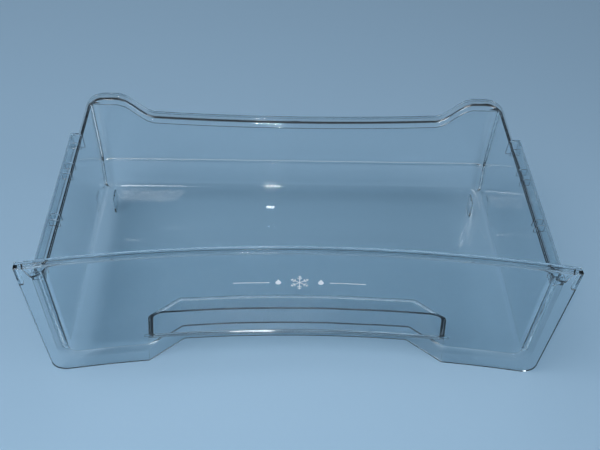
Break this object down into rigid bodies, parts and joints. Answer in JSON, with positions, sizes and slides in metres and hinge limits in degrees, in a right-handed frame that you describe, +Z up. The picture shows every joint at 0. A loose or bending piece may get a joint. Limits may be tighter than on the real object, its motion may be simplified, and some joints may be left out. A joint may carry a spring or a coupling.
{
  "type": "clear moulded fridge drawer",
  "caption": "Clear moulded fridge drawer with a concave front panel, a finger pocket under a pull lip, ribbed side rails and a low rear rim.",
  "frame": {"origin": "middle of the bounding box, on the surface that the drawer stands on", "axes": "+Z up, -Y towards the front panel, +X to the right as seen from the front"},
  "size_m": [0.48, 0.268, 0.146],
  "materials": {
    "clear_plastic": "glossy transparent moulded plastic, colourless, with a faint cool tint in thick edges"
  },
  "bodies": {
    "root": {"drawer": "clear_plastic"}
  },
  "joints": []
}
